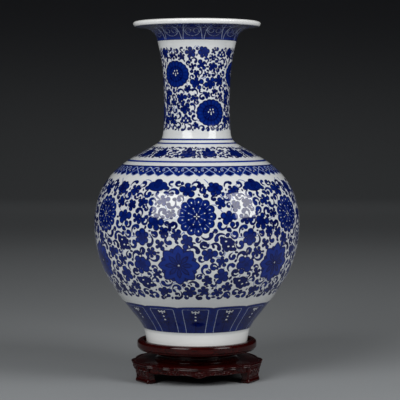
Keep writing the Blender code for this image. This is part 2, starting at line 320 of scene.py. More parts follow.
def flower_round(c, th, z, R, n=13):
    """The round bloom: n scalloped petals, each with a white drop, two rings of dots and a small cross at the centre."""
    s0 = s_of(z)

    def sdf(x, y):
        rho, phi = np.hypot(x, y), np.arctan2(y, x)
        return (R * petal_radius(phi, n, 0.13, 0.7) - rho) * 0.9

    def tone(x, y):
        rho, phi = np.hypot(x, y) / R, np.arctan2(y, x)
        gap = np.abs(np.sin(n * phi / 2))            # 1 between petals
        ribs = np.clip((np.abs(np.cos(n * phi / 2)) - 0.25) / 0.5, 0, 1)
        t = 0.10 + 0.30 * ribs * np.clip((rho - 0.42) / 0.3, 0, 1) * np.clip((0.97 - rho) / 0.12, 0, 1)
        t = np.where(rho < 0.42, 0.16 + 0.2 * np.abs(np.sin(4 * phi)) * np.clip((rho - 0.16) / 0.1, 0, 1), t)
        t = t + 0.38 * np.clip((gap - 0.93) / 0.05, 0, 1) * np.clip((rho - 0.50) / 0.05, 0, 1) * np.clip((0.86 - rho) / 0.05, 0, 1)
        t = np.where(np.abs(rho - 0.57) < 0.022, 0.02, t)
        return t.astype(np.float32)

    c.put(th, s0, R + 6, sdf, tone)
    for k in range(n):
        a = 2 * math.pi * (k + 0.0) / n
        c.carve(th, s0, R + 2, drop(0.74 * R * math.cos(a), 0.74 * R * math.sin(a), 1.20, 0.74, a))
        b = a + math.pi / n
        c.put(th, s0, R + 2, stroke([0.60 * R * math.cos(b), 0.88 * R * math.cos(b)], [0.60 * R * math.sin(b), 0.88 * R * math.sin(b)], [0.20, 0.12]), layer="pale")
    for k in range(8):
        a = 2 * math.pi * (k + 0.5) / 8
        c.carve(th, s0, R, drop(0.43 * R * math.cos(a), 0.43 * R * math.sin(a), 0.98, 0.66, a))
        c.put(th, s0, R, stroke([0.22 * R * math.cos(a), 0.34 * R * math.cos(a)], [0.22 * R * math.sin(a), 0.34 * R * math.sin(a)], [0.22, 0.22]), layer="pale")
    for k in range(4):
        a = math.pi / 2 * k
        c.carve(th, s0, 6, drop(2.3 * math.cos(a), 2.3 * math.sin(a), 1.5, 0.62, a))


def petals(R, n, base, tip, half, off):
    """Pointed petals, each the overlap of two discs, with their points at tip * R."""
    L = (tip - base) * R / 2
    W = half * R
    rc = (L * L + W * W) / (2 * W)

    def sdf(x, y):
        rho, phi = np.hypot(x, y), np.arctan2(y, x) - math.pi / 2 - off
        k = np.round(phi / (2 * math.pi / n))
        a = phi - k * 2 * math.pi / n
        u, v = rho * np.cos(a) - (base + tip) / 2 * R, np.abs(rho * np.sin(a))
        return rc - np.hypot(u, v + rc - W)
    return sdf


def flower_star(c, th, z, R, n=8):
    """The lotus seen from above: n pointed petals over n more, dark outlines, a lighter wash between, one white dot."""
    s0 = s_of(z)
    front = petals(R, n, 0.08, 1.01, 0.30, 0.0)
    back = petals(R, n, 0.20, 0.90, 0.24, math.pi / n)
    small = petals(R, n, 0.14, 0.66, 0.12, 0.0)
    core = disc(0, 0, 0.66 * R)

    def tone(x, y):
        f, b, q = front(x, y), back(x, y), small(x, y)
        rho, phi = np.hypot(x, y) / R, np.arctan2(y, x) - math.pi / 2
        rib = np.clip(1 - np.abs(np.sin(n * phi / 2)) * rho * R / 1.6, 0, 1) * (rho > 0.62)
        t = 0.54 - 0.54 * np.clip(1.6 - np.abs(f) / 1.15, 0, 1) - 0.3 * rib
        t = np.where(f > 0, t, 0.34 - 0.34 * np.clip(1.2 - np.abs(b) / 1.0, 0, 1))
        t = np.where(q > 0, 0.0 + 0.30 * np.clip(q / 1.6 - 0.3, 0, 1), t)
        rho = np.hypot(x, y)
        t = np.where(rho < 0.13 * R, 0.02, t)
        return np.clip(t, 0, 1).astype(np.float32)

    c.put(th, s0, R + 6, union(front, back, core), tone)
    c.carve(th, s0, 4, disc(0, 0, 1.1))


def rosette(c, th, z, R, n=18):
    """The neck's round bloom: a fine scalloped rim, a darker ring of petals and a few pale dots."""
    s0 = s_of(z)

    def sdf(x, y):
        rho, phi = np.hypot(x / 1.13, y), np.arctan2(y, x / 1.13)
        return (R * petal_radius(phi, n, 0.055, 0.8) - rho) * 0.95

    def tone(x, y):
        rho, phi = np.hypot(x / 1.13, y) / R, np.arctan2(y, x / 1.13)
        ribs = np.abs(np.cos(n * phi / 2))
        t = 0.12 + 0.34 * ribs * np.clip((rho - 0.5) / 0.2, 0, 1) * np.clip((0.95 - rho) / 0.1, 0, 1)
        t = np.where(np.abs(rho - 0.53) < 0.035, 0.0, t)
        t = np.where((rho > 0.28) & (rho < 0.5), 0.30 * np.abs(np.cos(7 * phi)), t)
        return t.astype(np.float32)

    c.put(th, s0, 1.15 * R + 6, sdf, tone)
    for dx, dy in ((-3.6, 1.0), (3.2, 0.9), (-1.4, 3.9), (2.4, 4.2), (0.0, 0.4), (0.0, -1.6)):
        c.carve(th, s0, 8, drop(dx, dy, 1.05, 0.75, math.pi / 2 + dx * 0.15))


def half_lotus(c, th, z, w, h, dots=False):
    """The bud seen from the side: five petals over a flat base."""
    s0 = s_of(z)
    shapes = [drop(0, 0.18 * h, 0.20 * w, 0.52 * h, 0.0), drop(-0.22 * w, 0.04 * h, 0.19 * w, 0.36 * h, 0.5),
              drop(0.22 * w, 0.04 * h, 0.19 * w, 0.36 * h, -0.5), drop(-0.38 * w, -0.18 * h, 0.15 * w, 0.20 * h, 0.35),
              drop(0.38 * w, -0.18 * h, 0.15 * w, 0.20 * h, -0.35), drop(0, -0.26 * h, 0.30 * w, 0.24 * h, 0.0)]
    front = shapes[0]

    def tone(x, y):
        t = np.full(x.shape, 0.16)
        for shape in shapes[:3]:
            t = np.maximum(t, 0.42 * np.clip(1 - np.abs(shape(x, y) - 0.55) / 0.5, 0, 1))
        return (t * np.where(front(x, y) > 1.2, 0.6, 1.0)).astype(np.float32)

    c.put(th, s0, w / 2 + 8, union(*shapes), tone)
    if dots:
        for dx, dy in ((-0.17 * w, -0.1 * h), (0.16 * w, -0.1 * h), (0.0, 0.2 * h)):
            c.carve(th, s0, 8, drop(dx, dy, 0.9, 1.3, 0))


def floret(c, th, z, r, lobes=5, turn=0.0, tone=0.15):
    s0 = s_of(z)
    shapes = [disc(0, 0, r * 0.44)]
    for k in range(lobes):
        a = turn + 2 * math.pi * (k + 0.10 * math.sin(5 * k + turn * 11)) / lobes
        lobe = r * (0.355 + 0.05 * math.sin(2.4 * k + turn * 9))
        rr = r * (0.98 + 0.10 * math.sin(3 * k + turn * 7)) - lobe
        shapes.append(drop(rr * math.cos(a), rr * math.sin(a), lobe * 0.98, lobe * 1.06, a))
    whole = union(*shapes)
    c.put(th, s0, r + 6, whole, lambda x, y: (tone + 0.42 * np.clip((whole(x, y) - 0.9) / 1.2, 0, 1) * np.clip(np.hypot(x, y) / r - 0.15, 0, 1)).astype(np.float32))


def fill_florets(c, z_low, z_high, radii, period_deg, seed, limit):
    """Small lobed blooms in the larger gaps."""
    r = np.random.default_rng(seed)
    placed = 0
    for rad in radii:
        for _ in range(500):
            if placed >= limit:
                return placed
            th, s0 = r.uniform(0, period_deg), r.uniform(s_of(z_high) + rad + 1, s_of(z_low) - rad - 1)
            if -float(c.at(np.array([th]), np.array([s0]))[0]) < min(rad * 0.92 + 0.5, 5.9):
                continue
            around = np.arange(8) * math.pi / 4
            row = min(NR - 1, int(np.searchsorted(S_ROW, s0)))
            tt = th + np.degrees(rad * np.cos(around) / R_ROW[row])
            if (-c.at(tt, s0 - rad * np.sin(around))).min() < 0.5:
                continue
            z = float(Z_ROW[row])
            floret(c, th, z, rad, int(r.integers(4, 6)), float(r.uniform(0, 1.2)), float(r.uniform(0.05, 0.2)))
            placed += 1
    return placed


def dotleaf(c, th, z, L, ang):
    """A lobed leaf with two or three white dots."""
    s0 = s_of(z)
    ca, sa = math.cos(ang), math.sin(ang)
    P = lambda u, v: (u * ca - v * sa, u * sa + v * ca)
    shapes = []
    for u, v, r in ((-0.30, 0.0, 0.20), (-0.05, 0.10, 0.24), (-0.05, -0.12, 0.22), (0.22, 0.0, 0.20), (0.42, 0.02, 0.10), (-0.48, 0.05, 0.10), (0.12, 0.22, 0.12), (0.10, -0.24, 0.12)):
        x, y = P(u * L, v * L)
        shapes.append(disc(x, y, r * L))
    c.put(th, s0, L / 2 + 8, union(*shapes), 0.10)
    for u, v in ((-0.20, 0.06), (0.06, -0.06), (0.26, 0.08)):
        x, y = P(u * L, v * L)
        c.carve(th, s0, 8, drop(x, y, 1.45, 0.95, ang + 0.8))


def fill_commas(c, z_low, z_high, size, bulb, gap, tries, period_deg, seed):
    """Curled leaves wherever there is room for one, each growing from what is already painted near it."""
    r = np.random.default_rng(seed)
    placed = 0
    angles = np.arange(20) * (2 * math.pi / 20)
    s_lo, s_hi = s_of(z_high), s_of(z_low)
    for scale in (1.0, 0.84, 0.68, 0.52):
        for _ in range(int(tries)):
            th = r.uniform(0, period_deg)
            s0 = r.uniform(s_lo, s_hi)
            i = min(NR - 1, int(np.searchsorted(S_ROW, s0)))
            rad = float(R_ROW[i])
            here = float(c.at(np.array([th]), np.array([s0]))[0])
            if here > -0.6 * scale or here < -3.2:
                continue
            sz = size * scale * r.uniform(0.92, 1.10)
            bl = bulb * (0.35 + 0.65 * scale) * r.uniform(0.92, 1.08)
            a0 = r.uniform(0, 0.3)
            wind = (4.3, 3.6, 4.8, 2.6)[int(r.integers(0, 4))]
            best = None
            for a in angles + a0:
                for curl in (-1, 1):
                    x, y, w = comma(a, sz, curl, bl, wind)
                    ss = s0 - y
                    if ss.min() - 1.2 < s_lo or ss.max() + 1.2 > s_hi:
                        continue
                    tt = th + np.degrees(x / rad)
                    room = -c.at(tt[3:], ss[3:]) - w[3:]
                    m = room.min()
                    if m < gap * (0.55 + 0.45 * scale):
                        continue
                    tail = -c.at(tt[1:3], ss[1:3]).max()
                    if tail < 0.1:
                        continue
                    score = -np.clip(room, 0, 3).mean() - 0.25 * abs(tail - 0.8)
                    if best is None or score > best[0]:
                        best = (score, x, y, w)
            if best:
                _, x, y, w = best
                shapes = [stroke(x, y, w)]
                lead = math.atan2(y[1] - y[0], x[1] - x[0])
                for turn in (2.5, -2.4, 3.3)[:int(r.integers(0, 4))]:
                    br = bl * r.uniform(0.62, 0.86)
                    bx, by = br * 1.25 * math.cos(lead + turn), br * 1.25 * math.sin(lead + turn)
                    if -float(c.at(np.array([th + math.degrees(bx / rad)]), np.array([s0 - by]))[0]) > br * 0.55 and s_lo + br < s0 - by < s_hi - br:
                        shapes.append(drop(bx, by, br * 1.15, br * 0.85, lead + turn))
                # a thin stem back to the nearest paint
                reach = np.array([2.6, 3.8, 5.2])
                around = lead + math.pi + np.linspace(-1.6, 1.6, 13)
                px, py = reach[:, None] * np.cos(around), reach[:, None] * np.sin(around)
                near = c.at((th + np.degrees(px / rad)).ravel(), (s0 - py).ravel()).reshape(px.shape)
                hit = np.argwhere(near > -0.2)
                if len(hit):
                    a = around[hit[0][1]]
                    L = reach[hit[0][0]] + 1.0
                    bow = r.uniform(-0.22, 0.22) * L
                    tt = np.linspace(0, 1, 6)
                    sx = L * tt * math.cos(a) - bow * np.sin(tt * math.pi) * math.sin(a)
                    sy = L * tt * math.sin(a) + bow * np.sin(tt * math.pi) * math.cos(a)
                    c.put(th, s0, L + 3, stroke(sx, sy, np.full(6, 0.46)), layer="vine")
                c.put(th, s0, sz + 7, union(*shapes), float(r.uniform(0.02, 0.40)))
                placed += 1
    return placed


def fill_buds(c, z_low, z_high, radii, gap, tries, period_deg, seed):
    """Small round and pointed leaves in what gaps are left."""
    r = np.random.default_rng(seed)
    placed = 0
    for rad in radii:
        for _ in range(tries):
            th, s0 = r.uniform(0, period_deg), r.uniform(s_of(z_high) + rad, s_of(z_low) - rad)
            here = -float(c.at(np.array([th]), np.array([s0]))[0])
            if here < rad + gap or here > rad + gap + 1.6:
                continue
            a = r.uniform(0, 2 * math.pi)
            c.put(th, s0, rad + 6, union(drop(0, 0, rad * 1.25, rad * 0.85, a), disc(rad * 0.8 * math.cos(a), rad * 0.8 * math.sin(a), rad * 0.62)), float(r.uniform(0.02, 0.3)))
            placed += 1
    return placed


def vine_between(c, th0, z0, th1, z1, bow, width=0.5):
    """A thin stem from one bloom to another, bowed to one side."""
    s0, s1 = s_of(z0), s_of(z1)
    rad = r_of((z0 + z1) / 2)
    dx, dy = math.radians(th1 - th0) * rad, -(s1 - s0)
    L = math.hypot(dx, dy)
    nx, ny = -dy / L, dx / L
    t = np.linspace(0, 1, 12)
    off = bow * L * np.sin(t * math.pi) * (1 - 0.3 * np.cos(t * math.pi * 2))
    x, y = dx * t + nx * off - dx / 2, dy * t + ny * off - dy / 2
    c.put((th0 + th1) / 2, (s0 + s1) / 2, L * 0.75 + 6, stroke(x, y, np.full(12, width)), layer="vine")


# ------------------------------------------------------------------ belly: six repeats of 60 degrees
belly = Canvas(6)
flower_round(belly, 0.0, 210.5, 23.6)
flower_star(belly, -10.0, 152.0, 25.6)
half_lotus(belly, -24.0, 245.5, 31.0, 15.0)
dotleaf(belly, 28.3, 130.0, 25.0, -0.35)
dotleaf(belly, 17.0, 177.0, 24.0, -0.65)
for th, z, r, lobes, turn in (
        (-5.0, 241.5, 9.4, 5, 0.4), (10.5, 242.5, 9.0, 6, 0.1), (21.5, 240.5, 7.0, 5, 0.9), (-18.5, 229.0, 7.2, 4, 0.3), (17.5, 208.0, 9.6, 5, 0.2),
        (-22.5, 203.0, 9.8, 5, 1.3), (29.5, 185.5, 9.6, 6, 0.5), (-5.0, 180.5, 8.2, 5, 0.7), (7.0, 164.5, 8.8, 5, 0.2),
        (27.8, 151.8, 11.0, 6, 0.15), (14.5, 138.5, 9.4, 5, 0.6), (-20.5, 119.0, 7.8, 5, 0.2), (-4.5, 119.5, 8.0, 5, 1.0)):
    floret(belly, th, z, r * 1.12, lobes, turn, tone=0.10 + 0.1 * ((lobes + int(z)) % 2))
fill_florets(belly, 109.5, 252.0, (7.4, 6.6, 5.8), 60.0, 3, 15)
for a, b, bow in (((0, 210.5), (17.5, 208), 0.3), ((17.5, 208), (29.5, 185.5), -0.3), ((29.5, 185.5), (27.8, 151.8), 0.3), ((27.8, 151.8), (14.5, 138.5), 0.35),
                  ((-5, 180.5), (7, 164.5), -0.35), ((7, 164.5), (14.5, 138.5), 0.3), ((-22.5, 203), (-5, 180.5), 0.35), ((17, 177), (7, 164.5), 0.3),
                  ((-24, 245.5), (-18.5, 229), 0.35), ((-5, 241.5), (10.5, 242.5), 0.4), ((10.5, 242.5), (21.5, 240.5), -0.4), ((-20.5, 119), (-4.5, 119.5), 0.35),
                  ((-4.5, 119.5), (14.5, 138.5), -0.3), ((28.3, 130), (39.5, 119), 0.3), ((-22.5, 203), (-30.5, 185.5), 0.35), ((10.5, 242.5), (17.5, 208), 0.3),
                  ((21.5, 240.5), (36, 245.5), 0.3), ((41.5, 229), (37.5, 203), 0.3), ((50, 152), (27.8, 151.8), 0.25), ((50, 152), (39.5, 119), 0.3),
                  ((-5, 180.5), (-10, 160), 0.4), ((0, 210.5), (-22.5, 203), 0.3)):
    vine_between(belly, a[0], a[1], b[0], b[1], bow, 0.52)
n_belly = fill_commas(belly, 109.5, 252.0, 10.8, 2.95, 0.62, 1300, 60.0, 7)
fill_buds(belly, 109.5, 252.0, (2.1, 1.7, 1.35), 0.42, 500, 60.0, 9)

# ------------------------------------------------------------------ neck: three repeats of 120 degrees
neck = Canvas(3)
rosette(neck, -38.0, 379.5, 16.8)
rosette(neck, 25.5, 332.0, 17.0)
half_lotus(neck, 42.5, 404.0, 14.0, 9.5, dots=True)
half_lotus(neck, -19.0, 323.5, 15.0, 10.0, dots=True)
for th, z, r, lobes, turn in (
        (-10.0, 405.5, 6.2, 5, 0.5), (10.5, 406.0, 6.4, 6, 0.1), (60.0, 405.0, 6.0, 5, 0.5), (-58.5, 406.0, 5.6, 5, 0.2), (8.0, 390.5, 5.8, 4, 0.6), (27.0, 388.0, 5.4, 5, 0.1),
        (0.0, 368.5, 7.0, 5, 0.3), (22.5, 368.5, 6.8, 5, 1.0), (40.0, 371.5, 6.4, 5, 0.5), (-27.0, 350.0, 6.0, 5, 0.2), (-20.5, 338.0, 6.4, 5, 0.9),
        (-46.0, 324.5, 6.2, 5, 0.4), (62.0, 355.0, 6.4, 5, 0.1), (58.0, 322.0, 6.0, 5, 0.7), (-60.0, 345.0, 5.6, 5, 0.7)):
    floret(neck, th, z, r * 1.2, lobes, turn, tone=0.14)
fill_florets(neck, 309.5, 412.5, (5.2, 4.6, 4.0), 120.0, 3, 16)
for a, b, bow in (((-38, 379.5), (-27, 350), 0.3), ((-27, 350), (-19, 323.5), -0.3), ((0, 368.5), (22.5, 368.5), 0.4), ((22.5, 368.5), (40, 371.5), -0.4), ((8, 390.5), (0, 368.5), 0.3),
                  ((25.5, 332), (58, 322), 0.3), ((40, 371.5), (62, 355), 0.3), ((-10, 405.5), (10.5, 406), 0.4), ((-60, 345), (-46, 324.5), 0.3), ((-19, 323.5), (5, 345), 0.35)):
    vine_between(neck, a[0], a[1], b[0], b[1], bow, 0.42)
n_neck = fill_commas(neck, 309.5, 412.5, 7.2, 2.0, 0.6, 1100, 120.0, 11)
fill_buds(neck, 309.5, 412.5, (1.6, 1.25, 1.0), 0.36, 500, 120.0, 13)

# ------------------------------------------------------------------ bands, on one canvas for the whole turn
rows_th = (np.arange(NC) * 360.0 / NC)[None, :]                        # degrees from the front
Zg, Sg, Rg = Z_ROW[:, None], S_ROW[:, None], R_ROW[:, None]
ink = np.full((NR, NC), FAR, np.float32)
tone = np.zeros((NR, NC), np.float32)
vine = np.full((NR, NC), FAR, np.float32)


def paste(canvas, z_low, z_high):
    """Copy a canvas round the whole turn, between two heights."""
    rows = (Z_ROW > z_low) & (Z_ROW < z_high)
    lines = np.where(canvas.ink > 0.0, canvas.pale, canvas.vine)
    for store, layer in ((ink, canvas.ink), (tone, canvas.tone), (vine, lines)):
        store[rows] = np.tile(layer, (1, canvas.fold))[rows]


paste(belly, 107.0, 254.0)
paste(neck, 307.0, 414.0)


def wrap(th, period):
    """th in degrees as a distance from the nearest multiple of period."""
    return (th + period / 2) % period - period / 2


def ring(z, half):
    """A line painted round the vase at a height."""
    global ink
    d = half - np.abs(Sg - s_of(z))
    ink = np.maximum(ink, np.broadcast_to(d, ink.shape).astype(np.float32))


ring(299.4, 1.15)
ring(294.6, 1.35)
ring(273.3, 1.75)
tone[(Z_ROW > 293.0) & (Z_ROW < 301.0)] = 1.0
tone[(Z_ROW > 271.5) & (Z_ROW < 275.9)] = 1.0

# shoulder band of small lotus heads and curls
shoulder = Canvas(7)
P7 = 360.0 / 7
for th, w, hh in ((-8.3, 19.0, 21.0), (12.5, 18.0, 20.0)):
    half_lotus(shoulder, th, 283.2, w, hh)
for th, z, r, lobes, turn in ((27.5, 286.0, 4.4, 5, 0.3), (33.0, 280.2, 4.6, 5, 0.3), (2.1, 288.2, 3.2, 4, 0.3), (2.1, 279.2, 3.6, 4, 0.6), (22.5, 279.8, 3.6, 4, 0.9)):
    floret(shoulder, th, z, r, lobes, turn, tone=0.2)
for a, b, bow in (((12.5, 283), (33.0, 280.2), 0.35), ((33.0, 280.2), (-8.3 + P7, 283), -0.35), ((-8.3, 283), (12.5, 283), 0.45)):
    vine_between(shoulder, a[0], a[1], b[0], b[1], bow, 0.4)
fill_commas(shoulder, 277.2, 290.8, 7.4, 1.9, 0.55, 520, P7, 5)
paste(shoulder, 276.2, 291.6)

# ruyi band: blue collar with white arcs, its lower edge in small points
P_RUYI = 360.0 / 26
u = wrap(rows_th - 8.6, P_RUYI) / P_RUYI                                 # 0 where the arcs cross, +-0.5 at the large points
s_top, s_bot = s_of(268.5), s_of(256.2)
h = s_bot - s_top
v = (Sg - s_top) / h                                                     # 0 at the top, 1 at the points
au = np.abs(u)
unit = Rg * math.radians(P_RUYI)
edge = np.where(au < 0.26, 0.98 - 0.20 * (au / 0.26) ** 1.5, 1.0 - 0.22 * ((0.5 - au) / 0.24) ** 1.0)
lower = (edge - v) * h * 0.8
band = np.minimum(lower, v * h)
x_mm, y_mm = u * unit, v * h
U = float(np.interp(0.5 * (s_top + s_bot), S_ROW, R_ROW)) * math.radians(P_RUYI)
arcs = np.full(ink.shape, -9.0)
hooks = np.full(ink.shape, -9.0)
for sgn in (-1, 1):
    pu = np.array([0.325, 0.350, 0.325, 0.255, 0.175, 0.090, 0.0, -0.11, -0.20, -0.26, -0.30]) * sgn * U
    pv = np.array([0.43, 0.33, 0.225, 0.165, 0.165, 0.25, 0.39, 0.52, 0.61, 0.70, 0.80]) * h
    arcs = np.maximum(arcs, stroke(pu, pv, [1.3, 1.1, 0.85, 0.70, 0.55, 0.45, 0.40, 0.38, 0.38, 0.38, 0.3])(u * U + 0 * v, y_mm + 0 * u))
    hooks = np.maximum(hooks, stroke(pu[:5], pv[:5], [1.55, 1.20, 0.80, 0.50, 0.1])(u * U + 0 * v, y_mm + 0 * u))
dot = 0.85 - np.hypot((au - 0.5) * U, y_mm - 0.56 * h)
band_ink = np.minimum(np.minimum(band, -dot), -hooks)
fringe = 0.42 - np.abs(lower - 0.30)
rows = (Z_ROW < 270.6) & (Z_ROW > 254.0)
ink[rows] = np.maximum(ink[rows], band_ink[rows].astype(np.float32))
vine[rows] = np.where(band > -0.4, np.maximum(arcs, fringe), FAR)[rows]
swirl = np.maximum(2.1 - np.hypot((au - 0.22) * U, y_mm - 0.34 * h), 2.6 - np.hypot(au * U, y_mm - 0.76 * h))
ruyi_tone = np.where(swirl > 0, 0.03, 0.34) + np.clip(1 - lower / 1.2, 0, 1) * 0.5
tone[rows] = ruyi_tone[rows]

# lotus-panel band above the foot
N_PANEL = 13
P_PANEL = 360.0 / N_PANEL
u = wrap(rows_th + 1.0, P_PANEL) / P_PANEL
s_top, s_bot = s_of(99.6), s_of(64.6)
h = s_bot - s_top
v = (Sg - s_top) / h
unit = Rg * math.radians(P_PANEL)
x_mm, y_mm = u * unit, v * h
top_edge = 1.9 - 1.9 * np.sqrt(np.clip(1 - (np.abs(u) * 2) ** 2, 0, 1))
band = np.minimum(y_mm - top_edge, h - y_mm)
half_w = 0.375 * unit - 0.02 * y_mm
corner = 2.2
qx, qy = np.abs(x_mm) - (half_w - corner), (4.6 - y_mm) + corner
rect = np.where((qx > 0) & (qy > 0), corner - np.hypot(qx, qy), np.minimum(half_w - np.abs(x_mm), y_mm - 4.6))
line = 0.30 - np.abs(rect)                                                # white outline of each panel
inner_line = np.where(y_mm < h - 0.5, line, -9)
tref = np.maximum.reduce([
    drop(0, 0, 1.0, 1.8, 0)(x_mm, y_mm - 8.6), drop(0, 0, 2.2, 0.85, 0.5)(x_mm - 2.4, y_mm - 9.3), drop(0, 0, 2.2, 0.85, -0.5)(x_mm + 2.4, y_mm - 9.3),
    disc(0, 0, 1.0)(x_mm - 4.1, y_mm - 7.9), disc(0, 0, 1.0)(x_mm + 4.1, y_mm - 7.9), drop(0, 0, 0.85, 1.5, 0)(x_mm, y_mm - 11.5),
    disc(0, 0, 1.15)(x_mm, y_mm - 17.0), disc(0, 0, 1.3)(x_mm, y_mm - 22.6)])
dark_swirl = np.maximum(disc(0, 0, 2.4)(np.abs(x_mm) - 4.6, y_mm - 8.6), -9)
band_ink = np.minimum(band, -tref)
rows = (Z_ROW < 101.5) & (Z_ROW > 63.0)
ink[rows] = np.maximum(ink[rows], band_ink[rows].astype(np.float32))
ax = np.abs(x_mm)
curl = np.maximum.reduce([2.3 - np.hypot(ax - 4.4, y_mm - 13.6), 1.9 - np.hypot(ax - 5.2, y_mm - 20.5), 1.6 - np.hypot(ax - 3.0, y_mm - 27.0), 1.3 - np.abs(x_mm) - 0.02 * y_mm])
vine[rows] = np.where(band > 0.2, inner_line, FAR)[rows]
panel_tone = np.where(rect > 0, np.where(curl > 0, 0.0, 0.17), 0.24 + 0.14 * np.clip(1 - np.abs(rect + 2.0) / 1.2, 0, 1))
tone[rows] = np.broadcast_to(panel_tone, ink.shape)[rows]

# flare: blue ground under the lip with thin white lappet lines
N_LIP = 12
P_LIP = 360.0 / N_LIP
s_top, s_bot = s_of(438.95), s_of(420.8)
h = s_bot - s_top
v = (Sg - s_top) / h
u = wrap(rows_th + 6.0, P_LIP) / P_LIP
unit = Rg * math.radians(P_LIP)
x_mm, y_mm = u * unit, v * h
ground = np.minimum(y_mm, h - y_mm)
leaf = 0.5 * np.sqrt(np.clip(v, 0, 1)) ** 0.9 * unit * 0.93
white = 0.20 - np.abs(np.abs(x_mm) - leaf) * 0.8
white = np.maximum(white, np.where(y_mm > 0.42 * h, 0.16 - np.abs(np.hypot(x_mm * 0.9, y_mm - 0.62 * h) - 0.20 * h - 0.06 * unit) * 0.9, FAR))
white = np.maximum(white, 0.16 - np.abs(np.hypot(np.abs(x_mm) - 0.33 * unit, y_mm - 0.30 * h) - 0.16 * h) * 0.9)
white = np.maximum(white, 0.14 - np.abs(np.hypot(np.abs(x_mm) - 0.17 * unit, y_mm - 0.66 * h) - 0.09 * h) * 0.9)
band_ink = ground
rows = (Z_ROW < 439.4) & (Z_ROW > 419.8)
ink[rows] = np.maximum(ink[rows], band_ink[rows].astype(np.float32))
vine[rows] = np.where(ground > 0.3, white, FAR)[rows]
tone[rows] = 0.12 + 0.25 * (v > 0.93)[rows] * np.ones((1, NC), np.float32)

np.clip(ink, -3.0, 4.0, out=ink)
np.clip(vine, -3.0, 2.0, out=vine)

# ------------------------------------------------------------------ the vase's mesh, outside and inside
inner_mid = []
coarse = resample(catmull(STATIONS, 3.0), 5.0)
tang = np.gradient(coarse, axis=0)
tang /= np.linalg.norm(tang, axis=1)[:, None]
inset = coarse + np.stack([tang[:, 1], -tang[:, 0]], 1) * WALL
inset = inset[(inset[:, 1] > VASE_Z + 21.0) & (inset[:, 1] < 419.0)]
floor_z = VASE_Z + 15.0
inside = np.array([(0.0, floor_z), (30.0, floor_z), (52.0, floor_z), (56.5, floor_z + 0.9), (59.9, floor_z + 2.9)])
lip_curve = catmull([tuple(inset[::-1][-1]), (49.6, 430.8), (54.6, 436.8), (62.0, 440.9), (69.4, VASE_TOP - 2.0), (73.6, VASE_TOP - 0.5), (76.2, VASE_TOP),
                     (78.2, VASE_TOP - 0.7), (79.3, VASE_TOP - 1.9), (79.4, 442.3)], 0.7)
lip_curve = resample(lip_curve, 1.0)
foot_in = catmull([(63.6, 48.6), (63.4, 47.4), (62.7, VASE_Z + 0.3), (61.6, VASE_Z), (57.2, VASE_Z), (56.1, VASE_Z + 0.5), (55.6, VASE_Z + 1.6), (55.0, VASE_Z + 7.0), (53.8, VASE_Z + 8.6), (51.0, VASE_Z + 9.0)], 0.5)
foot_in = resample(foot_in, 0.9)
under = np.array([(30.0, VASE_Z + 9.0), (0.0, VASE_Z + 9.0)])
profile = np.vstack([inside, inset[::-1], lip_curve[1:-1], outer, foot_in[1:], under])
first_outer = len(inside) + len(inset) + len(lip_curve) - 2
NP = len(profile)
theta = np.arange(NC) * (2 * math.pi / NC)
ring_rows = profile[1:-1]                                                # every row but the two centre points
gx = ring_rows[:, 0, None] * np.sin(theta)[None, :]
gy = -ring_rows[:, 0, None] * np.cos(theta)[None, :]
gz = np.broadcast_to(ring_rows[:, 1, None], gx.shape)
co = np.stack([gx, gy, gz], -1).reshape(-1, 3)
co = np.vstack([co, [[0, 0, profile[0, 1]], [0, 0, profile[-1, 1]]]]) * MM
nring = NP - 2
i, j = np.meshgrid(np.arange(nring - 1), np.arange(NC), indexing="ij")
jn = (j + 1) % NC
quads = np.stack([i * NC + j, (i + 1) * NC + j, (i + 1) * NC + jn, i * NC + jn], -1).reshape(-1, 4)
arc = np.concatenate([[0], np.cumsum(np.linalg.norm(np.diff(profile, axis=0), axis=1))])
weight = np.ones(NP - 1)
weight[:first_outer] = 0.30
vv = np.concatenate([[0], np.cumsum(np.diff(arc) * weight)])
vv = 1 - (0.002 + 0.996 * vv / vv[-1])
vr = vv[1:-1]
u0, u1 = j / NC, (j + 1) / NC
uvq = np.stack([np.stack([u0, vr[i]], -1), np.stack([u0, vr[i + 1]], -1), np.stack([u1, vr[i + 1]], -1), np.stack([u1, vr[i]], -1)], -2).reshape(-1, 4, 2)
jj = np.arange(NC)
cap0 = np.stack([np.full(NC, nring * NC), jj, (jj + 1) % NC], -1)
last = (nring - 1) * NC
cap1 = np.stack([np.full(NC, nring * NC + 1), last + (jj + 1) % NC, last + jj], -1)
tris = np.vstack([cap0, cap1])
um = (jj + 0.5) / NC
uvt = np.concatenate([
    np.stack([np.stack([um, np.full(NC, vv[0])], -1), np.stack([jj / NC, np.full(NC, vv[1])], -1), np.stack([(jj + 1) / NC, np.full(NC, vv[1])], -1)], -2),
    np.stack([np.stack([um, np.full(NC, vv[-1])], -1), np.stack([(jj + 1) / NC, np.full(NC, vv[-2])], -1), np.stack([jj / NC, np.full(NC, vv[-2])], -1)], -2)])
vase_mesh = mesh_from_arrays("vase_painted", co, quads, tris, uvq, uvt)
vase = link(bpy.data.objects.new("vase_painted", vase_mesh))


def vertex_field(name, rows_values, default):
    full = np.full((nring, NC), default, np.float32)
    full[first_outer - 1:first_outer - 1 + NR] = rows_values
    values = np.concatenate([full.ravel(), [default, default]]).astype(np.float32)
    vase_mesh.attributes.new(name, "FLOAT", "POINT").data.foreach_set("value", values)


vertex_field("ink", ink, -3.0)
vertex_field("tone", tone, 0.0)
vertex_field("vine", vine, -3.0)


